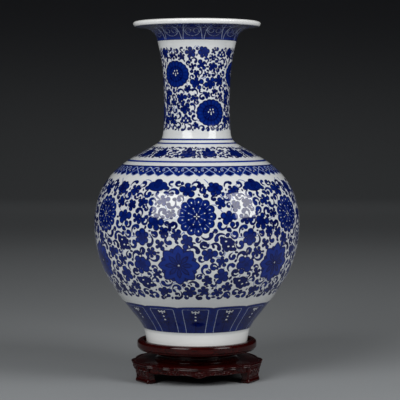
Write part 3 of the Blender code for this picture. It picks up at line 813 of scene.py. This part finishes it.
# ------------------------------------------------------------------ node helpers
class Nodes:
    def __init__(self, name):
        self.mat = bpy.data.materials.new(name)
        self.mat.use_nodes = True
        self.tree = self.mat.node_tree
        self.bsdf = self.tree.nodes["Principled BSDF"]
        self.n = 0

    def node(self, kind, **values):
        nd = self.tree.nodes.new(kind)
        self.n += 1
        nd.location = (-220 * (self.n % 8) - 300, -180 * (self.n // 8))
        for k, v in values.items():
            setattr(nd, k, v)
        return nd

    def wire(self, a, b):
        self.tree.links.new(a, b)

    def into(self, socket, value):
        if isinstance(value, bpy.types.NodeSocket):
            self.wire(value, socket)
        elif isinstance(value, (tuple, list)) and len(value) == 3 and socket.type == "RGBA":
            socket.default_value = (*value, 1.0)
        else:
            socket.default_value = value

    def math(self, op, a, b=0.0, c=None, clamp=False):
        nd = self.node("ShaderNodeMath", operation=op, use_clamp=clamp)
        self.into(nd.inputs[0], a)
        self.into(nd.inputs[1], b)
        if c is not None:
            self.into(nd.inputs[2], c)
        return nd.outputs[0]

    def attr(self, name):
        return self.node("ShaderNodeAttribute", attribute_type="GEOMETRY", attribute_name=name).outputs["Fac"]

    def ramp(self, value, lo, hi, to0=0.0, to1=1.0, smooth=True):
        nd = self.node("ShaderNodeMapRange", interpolation_type="SMOOTHSTEP" if smooth else "LINEAR")
        self.into(nd.inputs["Value"], value)
        nd.inputs["From Min"].default_value, nd.inputs["From Max"].default_value = lo, hi
        nd.inputs["To Min"].default_value, nd.inputs["To Max"].default_value = to0, to1
        return nd.outputs["Result"]

    def mix(self, fac, a, b, blend="MIX"):
        nd = self.node("ShaderNodeMix", data_type="RGBA", blend_type=blend)
        self.into(nd.inputs[0], fac)
        self.into(nd.inputs[6], a)
        self.into(nd.inputs[7], b)
        return nd.outputs[2]

    def coords(self, scale=(1, 1, 1), rotation=(0, 0, 0)):
        tc = self.node("ShaderNodeTexCoord")
        mp = self.node("ShaderNodeMapping")
        mp.inputs["Scale"].default_value = scale
        mp.inputs["Rotation"].default_value = rotation
        self.wire(tc.outputs["Object"], mp.inputs["Vector"])
        return mp.outputs["Vector"]

    def noise(self, vector, scale, detail=3.0, rough=0.5, distortion=0.0):
        nd = self.node("ShaderNodeTexNoise")
        self.wire(vector, nd.inputs["Vector"])
        nd.inputs["Scale"].default_value = scale
        nd.inputs["Detail"].default_value = detail
        nd.inputs["Roughness"].default_value = rough
        nd.inputs["Distortion"].default_value = distortion
        return nd.outputs["Fac"]

    def bump(self, height, strength, distance, normal=None):
        nd = self.node("ShaderNodeBump")
        nd.inputs["Strength"].default_value = strength
        nd.inputs["Distance"].default_value = distance
        self.wire(height, nd.inputs["Height"])
        if normal is not None:
            self.wire(normal, nd.inputs["Normal"])
        return nd.outputs["Normal"]


# ------------------------------------------------------------------ porcelain: white body, cobalt under a clear glaze
m = Nodes("painted_porcelain")
obj = m.coords()
ink_a, tone_a, vine_a = m.attr("ink"), m.attr("tone"), m.attr("vine")
wob = m.noise(obj, 420.0, 2.0)
wob = m.ramp(wob, 0.3, 0.7, -0.10, 0.10, smooth=False)
edge_in = m.math("ADD", ink_a, wob)
fac = m.ramp(edge_in, -0.28, 0.30)
vine_fac = m.ramp(m.math("ADD", vine_a, wob), -0.30, 0.22)
brush = m.noise(obj, 260.0, 4.0, 0.62, 0.6)
pool = m.noise(obj, 70.0, 3.0, 0.55)
deep = m.ramp(ink_a, 0.10, 1.30)
light = m.math("MULTIPLY", deep, tone_a)
light = m.math("ADD", light, m.ramp(brush, 0.30, 0.75, -0.08, 0.16, smooth=False))
light = m.math("ADD", light, m.ramp(pool, 0.30, 0.70, -0.07, 0.09, smooth=False), clamp=True)
cobalt = m.mix(light, (0.0004, 0.0022, 0.055), (0.0042, 0.036, 0.34))
white = m.mix(m.ramp(pool, 0.25, 0.75, 0.0, 1.0), (0.755, 0.765, 0.76), (0.715, 0.735, 0.74))
height = m.node("ShaderNodeSeparateXYZ")
m.wire(obj, height.inputs[0])
# painted highlight: the lip (above z 0.4385) and the foot ring (below z 0.064) are painted a whiter colour, standing in
# for the stronger light they catch
painted_light_lip_foot = m.math("ADD", m.ramp(height.outputs["Z"], 0.4385, 0.4400), m.math("SUBTRACT", 1.0, m.ramp(height.outputs["Z"], 0.060, 0.064)), clamp=True)
white = m.mix(painted_light_lip_foot, white, (0.96, 0.965, 0.95))
near = m.ramp(ink_a, -1.6, 0.0, 0.0, 0.13)
white = m.mix(near, white, (0.42, 0.52, 0.78))
with_vine = m.mix(m.math("MULTIPLY", vine_fac, 0.85), white, (0.030, 0.085, 0.38))
with_pale = m.mix(m.math("MULTIPLY", vine_fac, 0.80), cobalt, (0.48, 0.56, 0.74))
colour = m.mix(fac, with_vine, with_pale)
m.wire(colour, m.bsdf.inputs["Base Color"])
m.bsdf.inputs["Roughness"].default_value = 0.06
m.bsdf.inputs["IOR"].default_value = 1.45
peel = m.noise(obj, 55.0, 2.0, 0.5)
m.wire(m.bump(peel, 0.25, 0.00035), m.bsdf.inputs["Normal"])
PORCELAIN = m.mat
vase_mesh.materials.append(PORCELAIN)
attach(vase, "vase")
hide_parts("porcelain_vase")


# ------------------------------------------------------------------ lacquered rosewood
def rosewood(name):
    m = Nodes(name)
    v = m.coords(scale=(1.0, 6.0, 6.0))
    grain = m.noise(v, 42.0, 6.0, 0.62, 1.4)
    fine = m.noise(m.coords(scale=(1.0, 14.0, 14.0)), 160.0, 3.0, 0.6)
    cloud = m.noise(m.coords(), 34.0, 3.0, 0.5)
    streak = m.ramp(grain, 0.36, 0.68)
    base = m.mix(streak, (0.0095, 0.0003, 0.0003), (0.040, 0.0013, 0.0011))
    base = m.mix(m.ramp(fine, 0.50, 0.72, 0.0, 0.45), base, (0.0035, 0.0004, 0.0004))
    base = m.mix(m.ramp(cloud, 0.35, 0.70, 0.0, 0.30), base, (0.046, 0.0036, 0.0024))
    m.wire(base, m.bsdf.inputs["Base Color"])
    m.wire(m.ramp(cloud, 0.3, 0.75, 0.09, 0.17), m.bsdf.inputs["Roughness"])
    m.bsdf.inputs["IOR"].default_value = 1.33
    n = m.bump(grain, 0.22, 0.0003)
    m.wire(n, m.bsdf.inputs["Normal"])
    return m.mat


ROSEWOOD = rosewood("lacquered_rosewood")


# ------------------------------------------------------------------ the stand: finer turned, moulded and carved pieces for its nodes (mm)
STAND_TURN = math.radians(2.0)
FINE = 0.36                                            # spacing of the carved surfaces' points


def finish_mesh(ob, sharp=38.0):
    me = ob.data
    bm = bmesh.new()
    bm.from_mesh(me)
    bmesh.ops.remove_doubles(bm, verts=bm.verts, dist=0.000002)
    bmesh.ops.recalc_face_normals(bm, faces=bm.faces)
    bm.to_mesh(me)
    bm.free()
    me.shade_smooth()
    me.set_sharp_from_angle(angle=math.radians(sharp))


def ring_solid(name, X, Y, Z, first, last):
    """Rows of closed rings, capped to a point at either end."""
    nr, nc = X.shape
    co = np.vstack([np.stack([X, Y, Z], -1).reshape(-1, 3), [first, last]]) * MM
    i, j = np.meshgrid(np.arange(nr - 1), np.arange(nc), indexing="ij")
    jn = (j + 1) % nc
    quads = np.stack([i * nc + j, (i + 1) * nc + j, (i + 1) * nc + jn, i * nc + jn], -1).reshape(-1, 4)
    jj = np.arange(nc)
    end = (nr - 1) * nc
    tris = np.vstack([np.stack([np.full(nc, nr * nc), jj, (jj + 1) % nc], -1), np.stack([np.full(nc, nr * nc + 1), end + (jj + 1) % nc, end + jj], -1)])
    ob = link(bpy.data.objects.new(name, mesh_from_arrays(name, co, quads, tris)))
    return ob


def turned(name, profile, steps):
    """A profile of (radius, height) turned about the axis, from the top's centre down the outside to the bottom's."""
    p = np.array(profile, float)
    th = np.arange(steps) * 2 * math.pi / steps
    r, z = p[1:-1, 0, None], p[1:-1, 1, None]
    return ring_solid(name, r * np.sin(th), -r * np.cos(th), z + 0 * th, (0, 0, p[0, 1]), (0, 0, p[-1, 1]))


def arc(cr, cz, radius, a0, a1, n=7):
    """Points round a centre in the profile, degrees from +radius towards +height."""
    return [(cr + radius * math.cos(math.radians(a)), cz + radius * math.sin(math.radians(a))) for a in np.linspace(a0, a1, n)]


def bored(ob, cutters):
    """The cutters taken out of the piece, as the joinery's holes."""
    for tool in cutters:
        mod = ob.modifiers.new("bore", "BOOLEAN")
        mod.operation = "DIFFERENCE"
        mod.solver = "EXACT"
        mod.object = tool
    bpy.context.view_layer.update()
    done = bpy.data.meshes.new_from_object(ob.evaluated_get(bpy.context.evaluated_depsgraph_get()))
    ob.modifiers.clear()
    ob.data = done
    return ob


def place(angle_deg, radius):
    a = np.radians(angle_deg) + STAND_TURN
    return radius * np.sin(a), -radius * np.cos(a)


TIP, NOTCH_A, LOBE, NOTCH_B, CORNER_T, CORNER_DIST = 82.0, 78.2, 82.6, 80.4, 16.2, 83.0
CORNER_ANGLE = 60.0 - math.degrees(math.atan2(CORNER_T, CORNER_DIST))


def outline_radius(deg):
    """The board's lobed edge, as in the CAD model."""
    a = np.abs((np.asarray(deg, float) + 60.0) % 120.0 - 60.0)
    t = np.clip(1.0 - a / 22.5, 0, 1)
    tip = NOTCH_A + (TIP - NOTCH_A) * (0.72 * np.sin(t * math.pi / 2) + 0.28 * t ** 5)
    t = np.clip((a - 22.5) / 20.5, 0, 1)
    lobe = NOTCH_A + (NOTCH_B - NOTCH_A) * t + (LOBE - (NOTCH_A + NOTCH_B) / 2) * np.sin(t * math.pi).clip(0) ** 0.8
    t = np.clip((a - 43.0) / (CORNER_ANGLE - 43.0), 0, 1)
    ear = NOTCH_B + (math.hypot(CORNER_DIST, CORNER_T) - NOTCH_B) * t ** 1.6
    flat = CORNER_DIST / np.cos(np.radians(60.0 - a))
    return np.select([a <= 22.5, a <= 43.0, a <= CORNER_ANGLE], [tip, lobe, ear], flat)


screw_cutters, dowel_cutters = [], []
for direction in (60.0, 180.0, 300.0):
    x, y = place(direction, 34.0)
    tool = turned("cut_screw", [(0.0, 43.5), (0.8, 43.1), (2.1, 38.8), (2.1, 22.8), (4.1, 20.8), (4.1, 19.0), (0.0, 19.0)], 32)
    tool.location = (x * MM, y * MM, 0.0)
    screw_cutters.append(tool)
for direction in (-60.0, 60.0, 180.0):
    x, y = place(direction, 73.0)
    tool = turned("cut_dowel", [(0.0, 22.6), (2.85, 22.6), (2.85, 10.6), (0.0, 10.6)], 32)
    tool.location = (x * MM, y * MM, 0.0)
    dowel_cutters.append(tool)
for tool in screw_cutters + dowel_cutters:
    finish_mesh(tool)
bpy.context.view_layer.update()

STEPS = 288
seat_profile = [(0.0, 45.6), (20.0, 45.6), (45.0, 45.6), (64.0, 45.6), (66.4, 45.6), (66.9, 45.75), (67.0, 46.1), (67.0, 47.9)]
seat_profile += arc(67.6, 48.0, 0.6, 180, 90, 5) + [(70.4, 48.6), (70.75, 48.5), (70.95, 48.28), (71.2, 48.2), (71.5, 48.28)]
seat_profile += arc(71.6, 45.1, 3.4, 84, 0, 12) + [(75.0, 43.5), (75.0, 41.6)] + arc(72.4, 40.9, 2.6, 0, -48, 6) + [(73.3, 38.6), (72.9, 38.4)]
seat_profile += arc(71.3, 37.9, 1.5, 10, -90, 7) + [(66.0, 36.4), (40.0, 36.4), (20.0, 36.4), (0.0, 36.4)]
seat = bored(turned("seat_disc_turned", seat_profile, STEPS), screw_cutters)

waist_profile = [(0.0, 36.35), (20.0, 36.35), (40.0, 36.35), (52.2, 36.35)] + arc(52.2, 35.6, 0.75, 90, -90, 7) + [(51.4, 34.7), (51.2, 34.3)]
waist_profile += [(50.7 - 1.1 * math.sin(t * math.pi), 33.9 - 7.6 * t) for t in np.linspace(0, 1, 14)] + [(51.2, 26.0), (51.5, 25.6)]
waist_profile += arc(52.1, 24.75, 0.85, 90, -90, 8) + [(52.4, 23.85), (52.6, 23.6), (52.4, 23.55), (40.0, 23.55), (20.0, 23.55), (0.0, 23.55)]
waist = bored(turned("waist_drum_turned", waist_profile, STEPS), screw_cutters)

# the board: its lobed outline with a moulded edge and a scratched line round the top
nb = 960
deg = np.arange(nb) * 360.0 / nb
edge_r = outline_radius(deg)
for _ in range(4):
    edge_r = 0.25 * np.roll(edge_r, 1) + 0.5 * edge_r + 0.25 * np.roll(edge_r, -1)
soft_r = edge_r.copy()
for _ in range(60):
    soft_r = 0.25 * np.roll(soft_r, 3) + 0.5 * soft_r + 0.25 * np.roll(soft_r, -3)
top_rows = [(20.0, 23.5), (45.0, 23.5), (60.0, 23.5)]
edge_rows = [(5.3, 23.5), (5.05, 23.42), (4.85, 23.2), (4.6, 23.12), (4.35, 23.2), (4.15, 23.42), (3.9, 23.5), (1.5, 23.5), (0.95, 23.44), (0.5, 23.24), (0.18, 22.92), (0.03, 22.5),
             (0.03, 22.1), (0.2, 21.75), (0.5, 21.52), (0.8, 21.42), (0.95, 21.2), (0.95, 20.9), (0.85, 20.7), (0.7, 20.5), (0.7, 20.25), (0.95, 20.0)]
bottom_rows = [(70.0, 20.0), (45.0, 20.0), (20.0, 20.0)]
R_rows = [np.full(nb, r) for r, _ in top_rows] + [np.where(inset > 3.0, soft_r * (inset - 3.0) / 2.3 + edge_r * (1 - (inset - 3.0) / 2.3), edge_r) - inset for inset, _ in edge_rows]
R_rows += [np.full(nb, r) for r, _ in bottom_rows]
Z_rows = [z for _, z in top_rows + edge_rows + bottom_rows]
RR, ZZ = np.stack(R_rows), np.array(Z_rows)[:, None] + np.zeros((1, nb))
bx, by = place(deg[None, :], RR)
board = bored(ring_solid("base_board_moulded", bx, by, ZZ, (0, 0, 23.5), (0, 0, 20.0)), screw_cutters + dowel_cutters)


def relief(d, width, height):
    """A carved ridge's rise from the distance inside its outline."""
    t = np.clip(d / width, 0, 1)
    return height * np.sqrt(t * (2 - t))


def scroll(cx, cy, r0, r1, a0, turns, w0, w1, n=16):
    """A carved volute: a ridge that winds in round a centre and ends in a round eye."""
    t = np.linspace(0, 1, n)
    a = a0 + turns * 2 * math.pi * t
    r = r0 + (r1 - r0) * t ** 0.8
    return stroke(cx + r * np.cos(a), cy + r * np.sin(a), w0 + (w1 - w0) * t)


def apron_low(rel):
    """The apron's lower edge: a pendant at the middle, then shallow scallops."""
    a = np.abs(rel)
    low = 13.4 - 2.2 * np.cos(np.clip(a / 6.0, 0, 1) * math.pi / 2) ** 0.8
    low = np.where(a > 6.0, 13.4 + 0.9 * np.sin(np.clip((a - 6.0) / 17.0, 0, 1) * math.pi), low)
    return np.where(a > 23.0, 13.4 + 0.9 * np.sin(np.clip((a - 23.0) / 20.0, 0, 1) * math.pi), low)


def apron_relief(x, z, low):
    """Rise of the carving, mm, at a distance x from the middle and a height z."""
    ax = np.abs(x)
    bead = relief(0.62 - np.abs(z - low - 0.72), 0.62, 0.62)
    top = relief(0.40 - np.abs(z - 19.3), 0.40, 0.18)
    middle = [scroll(3.5, 16.2, 2.5, 0.6, 2.6, -1.25, 0.80, 0.90), stroke([0.0, 0.9, 2.2, 4.3, 6.5], [12.7, 13.9, 14.2, 13.8, 14.8], [0.8, 0.85, 0.7, 0.6, 0.3]),
              drop(0.0, 17.2, 1.7, 1.15, math.pi / 2), drop(0.0, 14.2, 1.5, 1.0, math.pi / 2)]
    ridges = []
    for k, cx in enumerate((10.6, 20.0, 29.4, 38.6, 47.0)):
        up = 1 if k % 2 == 0 else -1
        cz = 16.6 + 0.25 * up
        ridges.append(scroll(cx, cz, 2.15, 0.45, 2.7 * up, -1.2 * up, 0.50, 0.66))
        ridges.append(stroke([cx - 4.9, cx - 3.2, cx - 1.9], [cz + 1.3 * up, cz + 1.8 * up, cz + 1.0 * up], [0.15, 0.5, 0.5]))
        ridges.append(drop(cx + 3.6, cz - 0.9 * up, 1.45, 0.62, 0.7 * up))
        ridges.append(drop(cx + 4.5, cz + 1.1 * up, 1.15, 0.52, -0.5 * up))
    carved = np.maximum.reduce([relief(f(ax, z), 0.55, 1.05) for f in ridges] + [relief(f(ax, z), 0.85, 1.45) for f in middle])
    return np.maximum.reduce([bead, top, carved])


def apron(name, middle):
    half = 48.6
    n = int(2 * half / 57.3 * 80.0 / FINE) | 1
    rel = np.linspace(-half, half, n)
    face = outline_radius(rel)
    for _ in range(8):
        face[1:-1] = 0.25 * face[:-2] + 0.5 * face[1:-1] + 0.25 * face[2:]
    face = np.minimum(face, 80.9) - 1.25
    low = apron_low(rel)
    m_front = int(8.6 / FINE)
    t = np.linspace(0, 1, m_front)[None, :]
    zf = 19.97 + (low[:, None] - 19.97) * t
    cove = 0.9 * np.clip(1 - (19.97 - zf) / 2.2, 0, 1) ** 2
    rf = face[:, None] - 0.25 + cove + apron_relief(np.radians(rel)[:, None] * 80.0, zf, low[:, None])
    back = face - 7.6
    zb = np.stack([low, low, 19.97 + 0 * low], 1)
    rb = np.stack([face - 1.2, back, back], 1)
    zb[:, 0] -= 0.0
    R, Z = np.concatenate([rf, rb], 1), np.concatenate([zf, zb], 1)
    X, Y = place(middle + rel[:, None] / half * (60.0 - np.degrees(np.arcsin(15.7 / R))), R)      # the ends lie along the feet's sides
    return ring_solid(name, X, Y, Z, (X[0].mean(), Y[0].mean(), Z[0].mean()), (X[-1].mean(), Y[-1].mean(), Z[-1].mean()))


def foot_relief(x, z):
    """Rise of the carving on a foot's outer face."""
    ax = np.abs(x)
    ridges = [scroll(6.4, 12.9, 3.9, 0.8, 2.5, -1.35, 0.85, 0.95), stroke([0.0, 1.6, 3.6, 6.6, 10.4, 12.8], [17.6, 17.0, 17.4, 18.2, 17.4, 15.6], [0.9, 0.8, 0.65, 0.6, 0.6, 0.4]),
              stroke([0.0, 2.2, 5.6, 9.4, 12.2], [5.6, 6.6, 6.6, 7.0, 8.8], [0.9, 0.75, 0.6, 0.55, 0.35]), drop(0.0, 12.6, 3.2, 1.5, math.pi / 2),
              drop(12.0, 12.4, 1.9, 0.8, 1.9), drop(2.9, 9.1, 1.5, 0.7, 0.6)]
    carved = np.maximum.reduce([relief(f(ax, z), 0.7, 0.95) for f in ridges])
    toe = relief(1.0 - np.abs(z - 2.5), 1.0, 0.45)
    return np.maximum(carved, toe)


foot_out = catmull([(81.4, 19.97), (81.7, 15.5), (80.9, 11.5), (80.2, 8.0), (80.5, 4.6), (81.3, 2.4), (81.3, 1.0), (80.7, 0.25), (80.0, 0.0)], 0.4)
foot_in = catmull([(64.7, 19.97), (64.8, 15.5), (67.8, 12.5), (69.1, 9.0), (68.9, 5.0), (67.6, 1.6), (68.0, 0.4), (68.9, 0.0)], 0.4)


def foot(name, direction):
    zs = np.concatenate([np.linspace(19.97, 1.4, int(18.5 / FINE)), [1.0, 0.6, 0.3, 0.1, 0.0]])
    out = np.interp(-zs, -foot_out[:, 1], foot_out[:, 0])
    inn = np.interp(-zs, -foot_in[:, 1], foot_in[:, 0])
    wide = np.interp(zs, [0.0, 0.6, 2.4, 5.0, 9.0, 14.0, 17.5, 19.97], [14.6, 15.3, 15.5, 15.2, 15.0, 15.3, 15.5, 15.5])
    # a rounded rectangle at each height: outer face, side, inner face, side
    c = 2.0
    w = np.linspace(-1, 1, int(27.0 / FINE))
    turn = np.linspace(0, math.pi / 2, 6)
    side = np.linspace(0, 1, 10)[1:-1]
    U, W = [], []
    for o, i, h in zip(out, inn, wide):
        f = w * (h - c)
        lu = [o - 0.55 + foot_relief(f, np.full(f.shape, zs[len(U)])) * np.clip((h - c + 0.4 - np.abs(f)) / 1.2, 0, 1) + 0 * f]
        lw = [f]
        lu.append(o - 0.55 - c + c * np.cos(turn[1:]))
        lw.append(h - c + c * np.sin(turn[1:]))
        lu.append(o - 0.55 - c + (i + c - (o - 0.55 - c)) * side)
        lw.append(np.full(side.shape, h))
        lu.append(i + c - c * np.sin(turn))
        lw.append(h - c + c * np.cos(turn))
        lu.append(i + c - c * np.cos(turn))
        lw.append(-(h - c) - c * np.sin(turn))
        lu.append(i + c + (o - 0.55 - c - (i + c)) * side)
        lw.append(np.full(side.shape, -h))
        lu.append(o - 0.55 - c + c * np.sin(turn[:-1]))
        lw.append(-(h - c) - c * np.cos(turn[:-1]))
        U.append(np.concatenate(lu))
        W.append(np.concatenate(lw))
    U, W = np.array(U), np.array(W)
    a = math.radians(direction) + STAND_TURN
    X = U * math.sin(a) + W * math.cos(a)
    Y = -U * math.cos(a) + W * math.sin(a)
    Z = zs[:, None] + 0 * U
    return ring_solid(name, X, Y, Z, (X[0].mean(), Y[0].mean(), zs[0]), (X[-1].mean(), Y[-1].mean(), 0.0))


carved = {"seat_disc": seat, "waist_drum": waist, "base_board": board}
for name, middle in (("apron_front", 0.0), ("apron_right", 120.0), ("apron_left", -120.0)):
    carved[name] = apron(name + "_carved", middle)
for name, direction in (("foot_left", -60.0), ("foot_right", 60.0), ("foot_back", 180.0)):
    ob = foot(name + "_carved", direction)
    finish_mesh(ob)
    carved[name] = bored(ob, dowel_cutters)
for node, ob in carved.items():
    finish_mesh(ob)
    ob.data.materials.clear()
    ob.data.materials.append(ROSEWOOD)
    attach(ob, "stand")
    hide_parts(node)
for tool in screw_cutters + dowel_cutters:
    bpy.data.objects.remove(tool, do_unlink=True)

# the joinery that only shows from below
m = Nodes("turned_beech")
grain = m.noise(m.coords(scale=(8.0, 8.0, 1.0)), 260.0, 4.0, 0.6, 0.8)
m.wire(m.mix(m.ramp(grain, 0.35, 0.7), (0.30, 0.17, 0.085), (0.48, 0.31, 0.17)), m.bsdf.inputs["Base Color"])
m.bsdf.inputs["Roughness"].default_value = 0.62
m.wire(m.bump(grain, 0.4, 0.0002), m.bsdf.inputs["Normal"])
for name in ("dowel_left", "dowel_right", "dowel_back"):
    frame["nodes"][name].data.materials[0] = m.mat
m = Nodes("plated_steel")
fleck = m.noise(m.coords(), 900.0, 3.0, 0.6)
m.wire(m.mix(m.ramp(fleck, 0.35, 0.7), (0.46, 0.44, 0.40), (0.60, 0.58, 0.54)), m.bsdf.inputs["Base Color"])
m.bsdf.inputs["Metallic"].default_value = 1.0
m.wire(m.ramp(fleck, 0.3, 0.7, 0.28, 0.46), m.bsdf.inputs["Roughness"])
for k in (1, 2, 3):
    frame["nodes"]["stand_screw_%d" % k].data.materials[0] = m.mat

# ------------------------------------------------------------------ floor that sweeps up behind the object
sweep = [(-6.0, 0.0), (4.2, 0.0)]
sweep += [(4.2 + 2.0 * math.sin(a), 2.0 - 2.0 * math.cos(a)) for a in np.linspace(0, math.pi / 2, 24)[1:]]
sweep += [(6.2, 7.0)]
sweep = np.array(sweep)
n = len(sweep)
co = np.zeros((2 * n, 3))
co[:n, 0], co[n:, 0] = -9.0, 9.0
co[:n, 1], co[n:, 1] = sweep[:, 0], sweep[:, 0]
co[:n, 2], co[n:, 2] = sweep[:, 1], sweep[:, 1]
k = np.arange(n - 1)
floor_mesh = mesh_from_arrays("studio_floor", co, np.stack([k, n + k, n + k + 1, k + 1], -1))
floor = link(bpy.data.objects.new("studio_floor", floor_mesh))
m = Nodes("studio_paper")
rise = m.node("ShaderNodeSeparateXYZ")
m.wire(m.coords(), rise.inputs[0])
# painted shade: the floor stays paler and the backdrop is painted darker towards its top, standing in for the light
# falling off up the sweep
m.wire(m.mix(m.ramp(rise.outputs["Z"], 0.02, 0.95), (0.32, 0.335, 0.345), (0.10, 0.105, 0.118)), m.bsdf.inputs["Base Color"])       # paler floor, backdrop graded darker towards its top
m.bsdf.inputs["Roughness"].default_value = 0.7
floor_mesh.materials.append(m.mat)

print("curled leaves:", n_belly, n_neck, "rows", NR, "columns", NC)
